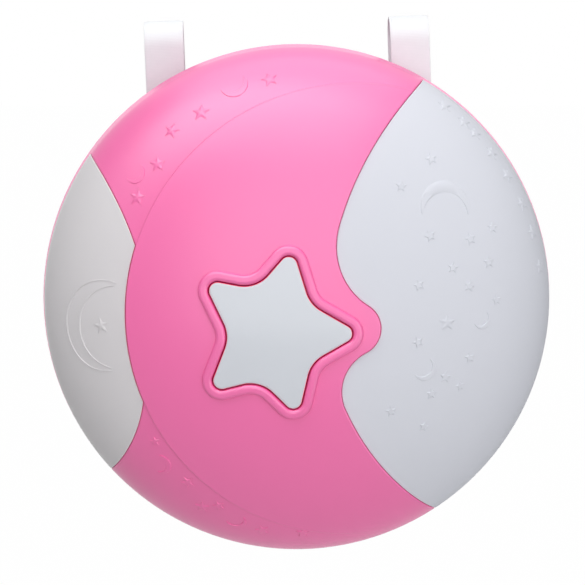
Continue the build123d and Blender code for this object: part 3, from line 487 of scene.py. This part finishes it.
def woven_ribbon(name):
    """Woven ribbon: cross ribs and warp threads in the strap's own millimetres, with a firmer border."""
    material, shader, start = new_material(name)
    thread = start.node("ShaderNodeUVMap", {"uv_map": "UVMap"}, {})
    across = start.node("ShaderNodeSeparateXYZ", {}, {"Vector": thread}, "X")
    along = start.node("ShaderNodeSeparateXYZ", {}, {"Vector": thread}, "Y")
    ribs = along.maths("SINE", along * (2 * pi / RIB_PITCH)) * 0.5 + 0.5
    warp = across.maths("SINE", across * (2 * pi / WARP_PITCH)) * 0.5 + 0.5
    border = across.maths("ABSOLUTE", across).ramp(*BORDER_EDGE)
    patchy = thread.noise(RIBBON_PATCHES, 3.0)
    weave = ribs * RIB_SHARE + warp * (1 - RIB_SHARE)
    shade = weave * 0.35 + patchy * 0.45 + border * 0.1
    shade.blend(STRAP_WHITE, STRAP_SHADE).feed(shader, "Base Color")
    (weave * 0.15 + 0.5).feed(shader, "Roughness")
    (weave * (1 - border * 0.7)).bump(shader, strength=0.5, depth=THREAD_DEPTH)
    return material


def strap_seat(side):
    """Matrix that sets a strap drawn at the origin into its slot."""
    x, z = STRAP_SLOTS[side]
    return Matrix.Translation((x, 0, z)) @ Matrix.Rotation(STRAP_LEAN, 4, "Y")


def strap(side, hem_level):
    """Flat ribbon laid along its route, with its edges curled a little, then given its thickness."""
    start = (hem_level + HEM_BEND * cos(HEM_END), HEM_BEND * sin(HEM_END))
    points = walk(strap_route(side, hem_level), start, HEM_END - pi / 2)
    bpy.ops.mesh.primitive_grid_add(x_subdivisions=STRAP_COLUMNS, y_subdivisions=len(points) - 1, size=2)
    piece = bpy.context.object
    piece.name = f"strap_{side}_ribbon"
    uv = piece.data.uv_layers["UVMap"].data
    for loop in piece.data.loops:
        row = loop.vertex_index // (STRAP_COLUMNS + 1)
        share = piece.data.vertices[loop.vertex_index].co.x
        uv[loop.index].uv = (share * STRAP_WIDTH / 2 / MM, points[row][2] / MM)
    for index, vertex in enumerate(piece.data.vertices):
        place, heading, _ = points[index // (STRAP_COLUMNS + 1)]
        share = vertex.co.x
        curl = EDGE_CURL * share**4
        y = place.x + curl * sin(heading)
        z = place.y - curl * cos(heading)
        vertex.co = (share * STRAP_WIDTH / 2, y, z)
    wall = piece.modifiers.new("wall", "SOLIDIFY")
    wall.thickness = STRAP_WALL
    wall.offset = 0
    bpy.ops.object.modifier_apply(modifier=wall.name)
    soft_edge = piece.modifiers.new("soft_edge", "BEVEL")
    soft_edge.width = STRAP_SOFT_EDGE
    soft_edge.segments = 3
    soft_edge.limit_method = "ANGLE"
    soft_edge.angle_limit = STRAP_EDGE_ANGLE
    bpy.ops.object.modifier_apply(modifier=soft_edge.name)
    enter_edit()
    leave_edit()
    bpy.ops.object.shade_smooth_by_angle(angle=STRAP_SMOOTH)
    piece.data.transform(strap_seat(side))
    return piece, points[-1][2]


ribbon_white = woven_ribbon("strap_fabric")
pin_low, pin_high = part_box("strap_pins")
for side in STRAP_SLOTS:
    piece, flat_length = strap(side, (pin_low.y + pin_high.y) / 2)
    fix(piece, ribbon_white, "housing")
    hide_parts(f"strap_{side}")
paint(steel, "strap_pins")


# Strap fastenings
# Hook tape on the back of each front run and loop tape on the tail, pressed together.
# Both are woven tapes with a pile, stuck and sewn to the straps.

PATCH = (16 * MM, 0.8 * MM, 13 * MM)  # width, thickness and length
PATCH_HEIGHT = 24.5 * MM  # middle of a patch above the slot
PATCH_LEVELS = {"hook": 3 * MM, "loop": 3.8 * MM}  # Y of the middle of each tape
PATCH_SOFT_EDGE = 0.15 * MM
PILE = {"hook": 0.012 * MM, "loop": 0.018 * MM}  # how far each tape is ruffled
PILE_CUTS = 22
TUFT_WHITE = (0.7, 0.69, 0.72, 1)
TUFT_GAP_WHITE = (0.85, 0.84, 0.87, 1)
TUFT_SCALE = 1800.0
TUFT_DEPTH = 0.1 * MM


def pile_fabric(name):
    """Nylon tape: rows of tiny tufts."""
    material, shader, start = new_material(name)
    tufts = start.node("ShaderNodeTexVoronoi", {}, {"Vector": start.place(), "Scale": TUFT_SCALE})
    tufts.blend(TUFT_WHITE, TUFT_GAP_WHITE).feed(shader, "Base Color")
    (tufts * 0.2 + 0.6).feed(shader, "Roughness")
    tufts.bump(shader, strength=0.6, depth=TUFT_DEPTH)
    return material


def tape(kind):
    """Tape at the origin: a slab with soft edges, cut small and ruffled into a pile."""
    bpy.ops.mesh.primitive_cube_add(size=1)
    piece = bpy.context.object
    enter_edit()
    bpy.ops.transform.resize(value=[size - 2 * PILE[kind] for size in PATCH])
    bpy.ops.mesh.bevel(offset=PATCH_SOFT_EDGE, segments=2, affect="EDGES")
    bpy.ops.mesh.select_all(action="SELECT")
    bpy.ops.mesh.subdivide(number_cuts=PILE_CUTS)
    bpy.ops.transform.vertex_random(offset=PILE[kind], normal=0.0, seed=len(kind))
    leave_edit()
    bpy.ops.object.shade_smooth()
    return piece


tape_white = pile_fabric("fastening_fabric")
for kind, level in PATCH_LEVELS.items():
    sample = tape(kind)
    for side in STRAP_SLOTS:
        seat = strap_seat(side) @ Matrix.Translation((0, level, PATCH_HEIGHT))
        piece = copy_of(sample, f"{kind}_tape_{side}", seat)
        fix(piece, tape_white, "housing")
        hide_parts(f"{kind}_patches")
    bpy.data.objects.remove(sample)


# Button plate and control board
# A white carrier behind the star, screwed to bosses of the front cover. It guides the star's posts and
# carries the green control board with its chip, its lamps and the push switch.

INNER_WHITE = (0.6, 0.6, 0.58, 1)
INNER_GREY = (0.56, 0.56, 0.54, 1)
inner_white = moulded_plastic("inner_plastic", INNER_WHITE, INNER_GREY, roughness=0.5, grain_depth=0.03 * MM)
paint(inner_white, "button_plate", "switch_stem")
paint(black, "control_chip", "board_parts", "switch_body")
paint(steel, "plate_screws", "board_screws")


# Button springs
# Three coils of spring wire round the star's posts. They stand on the button plate and push the star out,
# so they shorten by the star's travel when it is pressed.

POST_CIRCLE = 14 * MM
POST_ANGLES = (90, 210, 330)  # degrees
STAR_CENTRE = (-12.2 * MM, -10.4 * MM)  # X and Z
BUTTON_COIL_RADIUS = 3.4 * MM
BUTTON_WIRE = 0.6 * MM
BUTTON_TURNS = 5
spring_low, spring_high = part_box("button_springs")
spring_length = spring_high.y - spring_low.y
sample = spring("button_spring", spring_length, BUTTON_COIL_RADIUS, BUTTON_WIRE, BUTTON_TURNS)
towards_front = Matrix.Rotation(pi / 2, 4, "X")
coils = []
for angle in POST_ANGLES:
    x = STAR_CENTRE[0] + POST_CIRCLE * cos(radians(angle))
    z = STAR_CENTRE[1] + POST_CIRCLE * sin(radians(angle))
    seat = Matrix.Translation((x, spring_high.y, z)) @ towards_front
    coils.append(copy_of(sample, f"button_coil_{angle}", seat))
bpy.data.objects.remove(sample)
button_coils = join(coils, "button_coils")
fix(button_coils, steel, "housing")
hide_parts("button_springs")
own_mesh(button_coils)


# Star button
# The white star that is pressed, moulded in one piece with its posts and plunger.
# It is polished, and its edge rolls over into the gap inside the bead, where the pink's light on it is a
# painted pink reflection.

STAR_BALL_CENTRE = (0, 189.8 * MM, 0)  # its face is part of a ball
STAR_BALL_RADIUS = 262.4 * MM
STAR_REFLECTION_EDGE = (0.0008, 0.0019)  # where the painted pink reflection starts and is full, as shares of the ball's radius
# Painted reflection of the pink plastic, laid on skins where they dip into the gaps beside it
PAINTED_PINK_REFLECTION = (0.95, 0.04, 0.16, 1)
STAR_WHITE = (0.68, 0.71, 0.76, 1)
STAR_GREY = (0.665, 0.69, 0.745, 1)


def paint_pink_reflection(material, centre, radii, start_and_full):
    """Painted pink reflection below a rounded skin, in the gap beside the pink, in place of the light that
    the pink shines there.
    """
    shader = shader_of(material)
    start = Shade(material.node_tree)
    face_colour = Shade(material.node_tree, shader.inputs["Base Color"].links[0].from_socket)
    arm = start.node("ShaderNodeVectorMath", {"operation": "SUBTRACT"}, {0: start.place(), 1: centre})
    share = start.node("ShaderNodeVectorMath", {"operation": "DIVIDE"}, {0: arm, 1: radii})
    reach = start.node("ShaderNodeVectorMath", {"operation": "LENGTH"}, {0: share}, "Value")
    (1 - reach).ramp(*start_and_full).blend(face_colour, PAINTED_PINK_REFLECTION).feed(shader, "Base Color")


star_white = moulded_plastic("star_plastic", STAR_WHITE, STAR_GREY, roughness=0.16, grain_depth=0.004 * MM)
# The star's rolled edge below its ball gets a painted pink reflection
paint_pink_reflection(star_white, STAR_BALL_CENTRE, [STAR_BALL_RADIUS] * 3, STAR_REFLECTION_EDGE)
paint(star_white, "star_button")


# Front cover
# The pink front shell: one moulding with the raised moon disc, the bead round the star and the bosses behind.
# Moons and stars stand proud of the band beside the moon disc, where the mould was cut for them.

DOME_FOOT = -22.2 * MM  # Y of the plane that the front skin rises from
DOME_RADIUS = 115 * MM
DOME_RISE = 48 * MM
RELIEF = 0.3 * MM
RELIEF_ROOT = 0.1 * MM  # ornaments go this far into the skin
RELIEF_SMOOTH = radians(35)
# Stars and moons are drawn one unit in radius and one unit high
STAR_CORNERS = 10
STAR_WAIST = 0.45  # radius of the valleys
STAR_SOFTNESS = 0.07  # how far each corner is cut back
STAR_SLOPE = 0.11  # width of the sloped edge of a star
STAR_FLANK = 0.3  # height of the upright part of its edge
MOON_ROWS = 40
MOON_COLUMNS = 4
MOON_REACH = radians(110)  # from the belly of a crescent to each horn
MOON_BELLY = 0.5  # width in the middle of a crescent
MOON_HORN = 0.04
MOON_FOOT = 0.4  # how far a crescent goes down below its edge
MOON_CREST = 1.5  # moves the inner columns apart, which leaves a narrow slope along each edge
GRID_EDGE = 0.99  # points past this share of a grid are on its edge
# Place in millimetres, radius and turn of each ornament on the band
COVER_STARS = [
    (-13, 100.6, 4.0, 20), (-43.4, 86, 4.3, 5), (-56.4, 78, 4.0, -12), (-62.7, 63.4, 4.0, 8),
    (-71.6, 48.7, 4.2, -6), (-64.3, -60.5, 2.6, 10), (-50, -79.5, 3.4, 25), (-43.5, -91.6, 3.8, -8),
    (-36, -90.6, 3.0, 18), (-16.5, -102.6, 3.6, 14), (2, -103.8, 3.4, 0),
]
COVER_MOONS = [
    (-28.7, 98, 6.3, 128), (-72.5, 59, 4.6, 138), (-61.7, -71.5, 4.8, 165), (-28.2, -98.4, 4.6, 110),
]


def dome_normal(point):
    """Way out of the front skin at a point of it."""
    level = (point.y - DOME_FOOT) / DOME_RISE**2
    return Vector((point.x / DOME_RADIUS**2, level, point.z / DOME_RADIUS**2)).normalized()


def on_dome(point):
    """Point moved onto the front skin, towards the middle of the form."""
    middle = Vector((0, DOME_FOOT, 0))
    arm = point - middle
    share = hypot(arm.x, arm.z) ** 2 / DOME_RADIUS**2 + arm.y**2 / DOME_RISE**2
    return middle + arm / sqrt(share)


def select_points(piece, test):
    """In edit mode, select the vertices that pass a test of their place."""
    bpy.ops.mesh.select_mode(type="VERT")
    bpy.ops.mesh.select_all(action="DESELECT")
    mesh = bmesh.from_edit_mesh(piece.data)
    for vertex in mesh.verts:
        vertex.select_set(test(vertex.co))
    mesh.select_flush_mode()
    bmesh.update_edit_mesh(piece.data)


def flat_star():
    """Star with soft corners."""
    bpy.ops.mesh.primitive_circle_add(vertices=STAR_CORNERS, radius=1, fill_type="NGON")
    piece = bpy.context.object
    enter_edit()
    valleys = [vertex.co.copy() for vertex in bmesh.from_edit_mesh(piece.data).verts[:][1::2]]
    select_points(piece, lambda place: place in valleys)
    bpy.ops.transform.resize(value=(STAR_WAIST, STAR_WAIST, 1), center_override=(0, 0, 0))
    bpy.ops.mesh.select_all(action="SELECT")
    bpy.ops.mesh.bevel(offset=STAR_SOFTNESS, segments=3, affect="VERTICES")
    bpy.ops.mesh.select_mode(type="FACE")
    bpy.ops.mesh.select_all(action="SELECT")
    bpy.ops.mesh.extrude_region_move(TRANSFORM_OT_translate={"value": (0, 0, STAR_FLANK)})
    bpy.ops.mesh.inset(thickness=STAR_SLOPE, depth=1 - STAR_FLANK)
    bpy.ops.mesh.poke()
    leave_edit()
    return piece


def flat_moon(outer, inner):
    """Crescent that opens to the right, with sloped edges.

    It is a strip bent round between two shares of the moon's width: 0 and 1 give the whole crescent."""
    bpy.ops.mesh.primitive_grid_add(x_subdivisions=MOON_COLUMNS, y_subdivisions=MOON_ROWS, size=2)
    piece = bpy.context.object
    for vertex in piece.data.vertices:
        across, along, _ = vertex.co
        on_edge = max(abs(across), abs(along)) > GRID_EDGE
        side = across if on_edge else across * MOON_CREST
        width = MOON_HORN + (MOON_BELLY - MOON_HORN) * (1 - along**2)
        radius = 1 - width * (outer + (inner - outer) * (side + 1) / 2)
        angle = along * MOON_REACH
        vertex.co = (-radius * cos(angle), radius * sin(angle), 0 if on_edge else 1)
    enter_edit()
    bpy.ops.mesh.extrude_region_move(TRANSFORM_OT_translate={"value": (0, 0, -MOON_FOOT)})
    leave_edit()
    return piece


def lay_on_dome(motif, name, place, radius, turn):
    """Copy of a flat ornament, turned, scaled and laid on the front skin round a plan place."""
    flat = hypot(*place) * MM / DOME_RADIUS
    middle = Vector((place[0] * MM, DOME_FOOT - DOME_RISE * sqrt(1 - flat**2), place[1] * MM))
    out = dome_normal(middle)
    across = Vector((0, 0, 1)).cross(out).normalized()
    up = out.cross(across)
    piece = copy_of(motif, name, Matrix.Rotation(radians(turn), 4, "Z"))
    for vertex in piece.data.vertices:
        u, v, height = vertex.co
        foot = on_dome(middle + (across * u + up * v) * radius * MM)
        vertex.co = foot + dome_normal(foot) * (height * (RELIEF + RELIEF_ROOT) - RELIEF_ROOT)
    return piece


def ornaments(name, rows):
    """Ornaments of one front piece, as one object. Each row is a flat motif and its places."""
    laid = []
    for motif, places in rows:
        for x, z, radius, turn in places:
            laid.append(lay_on_dome(motif, f"{name}_{len(laid)}", (x, z), radius, turn))
    whole = join(laid, name)
    enter_edit()
    leave_edit()
    bpy.ops.object.shade_smooth_by_angle(angle=RELIEF_SMOOTH)
    return whole


paint(pink, "front_cover")
star_motif = flat_star()
moon_motif = flat_moon(0, 1)
cover_ornaments = ornaments("cover_ornaments", [(star_motif, COVER_STARS), (moon_motif, COVER_MOONS)])
fix(cover_ornaments, pink, "housing")


# Lens
# The milky window on the right that the lamps shine through, lapped under the cover's edge.
# Moons and stars of the mould stand proud of it, with a row of stars beside the rim.

LENS_STARS = [
    (58.5, 65.5, 3.1, 12), (44.8, 53.8, 2.9, -8), (57.5, 32, 3.1, 20), (86.2, 34.8, 2.9, 0),
    (75.9, 30.2, 3.0, 15), (67.8, 17.8, 2.8, -10), (84.3, 19.7, 3.0, 6), (52.4, 10.5, 2.8, 18),
    (75.4, 9.4, 3.0, -14), (87.8, 2.7, 2.6, 9), (65.4, -6.5, 4.2, 0), (52.2, -14.8, 2.8, 24),
    (75.7, -22.6, 2.8, 10), (64.8, -31, 3.0, -6), (71.6, -35.5, 2.6, 16), (58.5, -38.4, 2.8, 4),
    (40.5, -45.8, 2.8, 12), (55.4, -53.5, 2.6, -12),
]
LENS_MOONS = [(64.9, 45, 11.8, 268), (81.5, -6, 4.2, 130), (55.5, -27.2, 5.2, 135)]
RIM_ROW_RADIUS = 110.3  # of the row of stars beside the rim, in millimetres
RIM_ROW_ANGLES = (53.4, 47.5, 43.8, 37.8, 31.3, 23.9, 16.7, 8.4)
RIM_STAR_RADIUS = 3.8
DOME_CENTRE = (0, DOME_FOOT, 0)
DOME_RADII = (DOME_RADIUS, DOME_RISE, DOME_RADIUS)
DOME_REFLECTION_EDGE = (0.002, 0.006)  # where the painted pink reflection starts and is full, as shares of the dome's size
LENS_MILK = (0.72, 0.735, 0.80, 1)
DEEPER_MILK = (0.70, 0.715, 0.78, 1)
lens_milk = moulded_plastic("lens_plastic", LENS_MILK, DEEPER_MILK, roughness=0.6, grain_depth=0.01 * MM)
shader_of(lens_milk).inputs["Specular IOR Level"].default_value = 0.25
# The lens's edge below the dome's skin, in the gap under the cover, gets a painted pink reflection
paint_pink_reflection(lens_milk, DOME_CENTRE, DOME_RADII, DOME_REFLECTION_EDGE)
paint(lens_milk, "right_lens")
rim_row = []
for angle in RIM_ROW_ANGLES:
    x = RIM_ROW_RADIUS * cos(radians(angle))
    z = RIM_ROW_RADIUS * sin(radians(angle))
    rim_row.append((x, z, RIM_STAR_RADIUS, angle))
lens_rows = [(star_motif, LENS_STARS + rim_row), (moon_motif, LENS_MOONS)]
lens_ornaments = ornaments("lens_ornaments", lens_rows)
fix(lens_ornaments, lens_milk, "housing")


# Side panel
# The white panel on the left, lapped under the cover in the same way as the lens.
# A plain crescent drawn with a raised line stands on it, with a small star in its hollow.

PANEL_MOON = [(-89, -8.5, 21, -4)]
PANEL_STAR = [(-88, -8.5, 4, 12)]
LINE_SHARE = 0.13  # width of the drawn line in the moon's width
PANEL_WHITE = (0.75, 0.725, 0.745, 1)
PANEL_GREY = (0.73, 0.705, 0.725, 1)
panel_white = moulded_plastic("panel_plastic", PANEL_WHITE, PANEL_GREY, roughness=0.42, grain_depth=0.02 * MM)
# The panel's edge below the dome's skin, in the gap under the cover, gets a painted pink reflection
paint_pink_reflection(panel_white, DOME_CENTRE, DOME_RADII, DOME_REFLECTION_EDGE)
paint(panel_white, "left_panel")
outer_line = flat_moon(0, LINE_SHARE)
inner_line = flat_moon(1 - LINE_SHARE, 1)
panel_rows = [(outer_line, PANEL_MOON), (inner_line, PANEL_MOON), (star_motif, PANEL_STAR)]
panel_ornament = ornaments("panel_ornament", panel_rows)
fix(panel_ornament, panel_white, "housing")
for motif in (star_motif, moon_motif, outer_line, inner_line):
    bpy.data.objects.remove(motif)


# Studio
# A white room with a pale floor below the hanging light and a little light from all round.
# Soft boxes stand round it, the strong ones above and in front, weaker ones at the left and behind.

FLOOR_LEVEL = -0.75
FLOOR_SIDE = 60
FLOOR_WHITE = 0.995  # share of plain white that the camera sees on the floor
AIR_LIGHT = 0.02  # strength of the light from all round
PAPER_WHITE = (0.8, 0.8, 0.8, 1)
LIGHTS_AIM = Vector((0, -0.03, 0))


def rays_that_see(start):
    """1 for rays of the camera, of mirrors and of glass, which see the background as plain white."""
    names = ("Is Camera Ray", "Is Glossy Ray", "Is Transmission Ray")
    camera_ray, glossy_ray, glass_ray = [start.node("ShaderNodeLightPath", {}, {}, name) for name in names]
    return start.maths("MAXIMUM", camera_ray, start.maths("MAXIMUM", glossy_ray, glass_ray))


def floor_paper(name):
    """White paper that keeps a faint shadow."""
    material, shader, start = new_material(name)
    shader.inputs["Base Color"].default_value = PAPER_WHITE
    shader.inputs["Roughness"].default_value = 0.9
    paper = Shade(material.node_tree, shader.outputs[0])
    glow = start.node("ShaderNodeEmission", {}, {"Strength": 1.0})
    seen = start.node("ShaderNodeMixShader", {}, {0: rays_that_see(start) * FLOOR_WHITE, 1: paper, 2: glow})
    seen.feed(material.node_tree.nodes["Material Output"], "Surface")
    return material


def soft_box(name, place, size, power):
    """Soft light that points at the night light."""
    data = bpy.data.lights.new(name, "AREA")
    data.shape = "RECTANGLE"
    data.size, data.size_y = size
    data.energy = power
    lamp = bpy.data.objects.new(name, data)
    bpy.context.scene.collection.objects.link(lamp)
    lamp.location = place
    lamp.rotation_euler = (LIGHTS_AIM - Vector(place)).to_track_quat("-Z", "Y").to_euler()


world = bpy.data.worlds.new("studio_air")
bpy.context.scene.world = world
world.use_nodes = True
background = world.node_tree.nodes["Background"]
background.inputs["Color"].default_value = (1, 1, 1, 1)
air = Shade(world.node_tree)
(rays_that_see(air) * (1 - AIR_LIGHT) + AIR_LIGHT).feed(background, "Strength")

bpy.ops.mesh.primitive_plane_add(size=FLOOR_SIDE, location=(0, 0, FLOOR_LEVEL))
floor = bpy.context.object
floor.name = "floor"
floor.data.materials.append(floor_paper("floor_paper"))

# Name, place and size in metres, power in watts
soft_box("key_box", (-0.25, -0.8, 1.05), (1.7, 0.8), 8.8)
soft_box("top_box", (0, -0.25, 1.3), (1.6, 1.2), 8.8)
soft_box("back_box", (0, 0.55, 1.15), (1.6, 1.0), 2.8)
soft_box("rear_box", (0, 1.6, 0.3), (1.6, 1.2), 3)
soft_box("front_box", (0, -1.7, 0.25), (1.6, 1.2), 8.0)
soft_box("right_box", (1.0, -1.0, -0.05), (0.9, 1.2), 6)
soft_box("left_box", (-1.1, -0.7, 0.6), (0.9, 1.2), 1.4)


# Camera
# The view of the photograph: from the front and a little above the middle of the disc.
# It stands 1.25 m away with a long lens, and its aim is shifted to centre the disc as the photograph does.

RIM_CENTRE = Vector((0, -22 * MM, 0))
AZIMUTH = radians(-1.4)
ELEVATION = radians(5.5)
DISTANCE = 1.25
FOCAL_LENGTH = 168.7  # millimetres
AIM_LEFT = 2.2 * MM
AIM_UP = 3.2 * MM
back = Vector((sin(AZIMUTH) * cos(ELEVATION), -cos(AZIMUTH) * cos(ELEVATION), sin(ELEVATION)))
right = Vector((cos(AZIMUTH), sin(AZIMUTH), 0))
up = right.cross(-back).normalized()
camera_data = bpy.data.cameras.new("camera")
camera_data.lens = FOCAL_LENGTH
camera = bpy.data.objects.new("camera", camera_data)
bpy.context.scene.collection.objects.link(camera)
camera.location = RIM_CENTRE - right * AIM_LEFT + up * AIM_UP + back * DISTANCE
camera.rotation_euler = (-back).to_track_quat("-Z", "Y").to_euler()
bpy.context.scene.camera = camera
bpy.context.scene.view_settings.view_transform = "Standard"
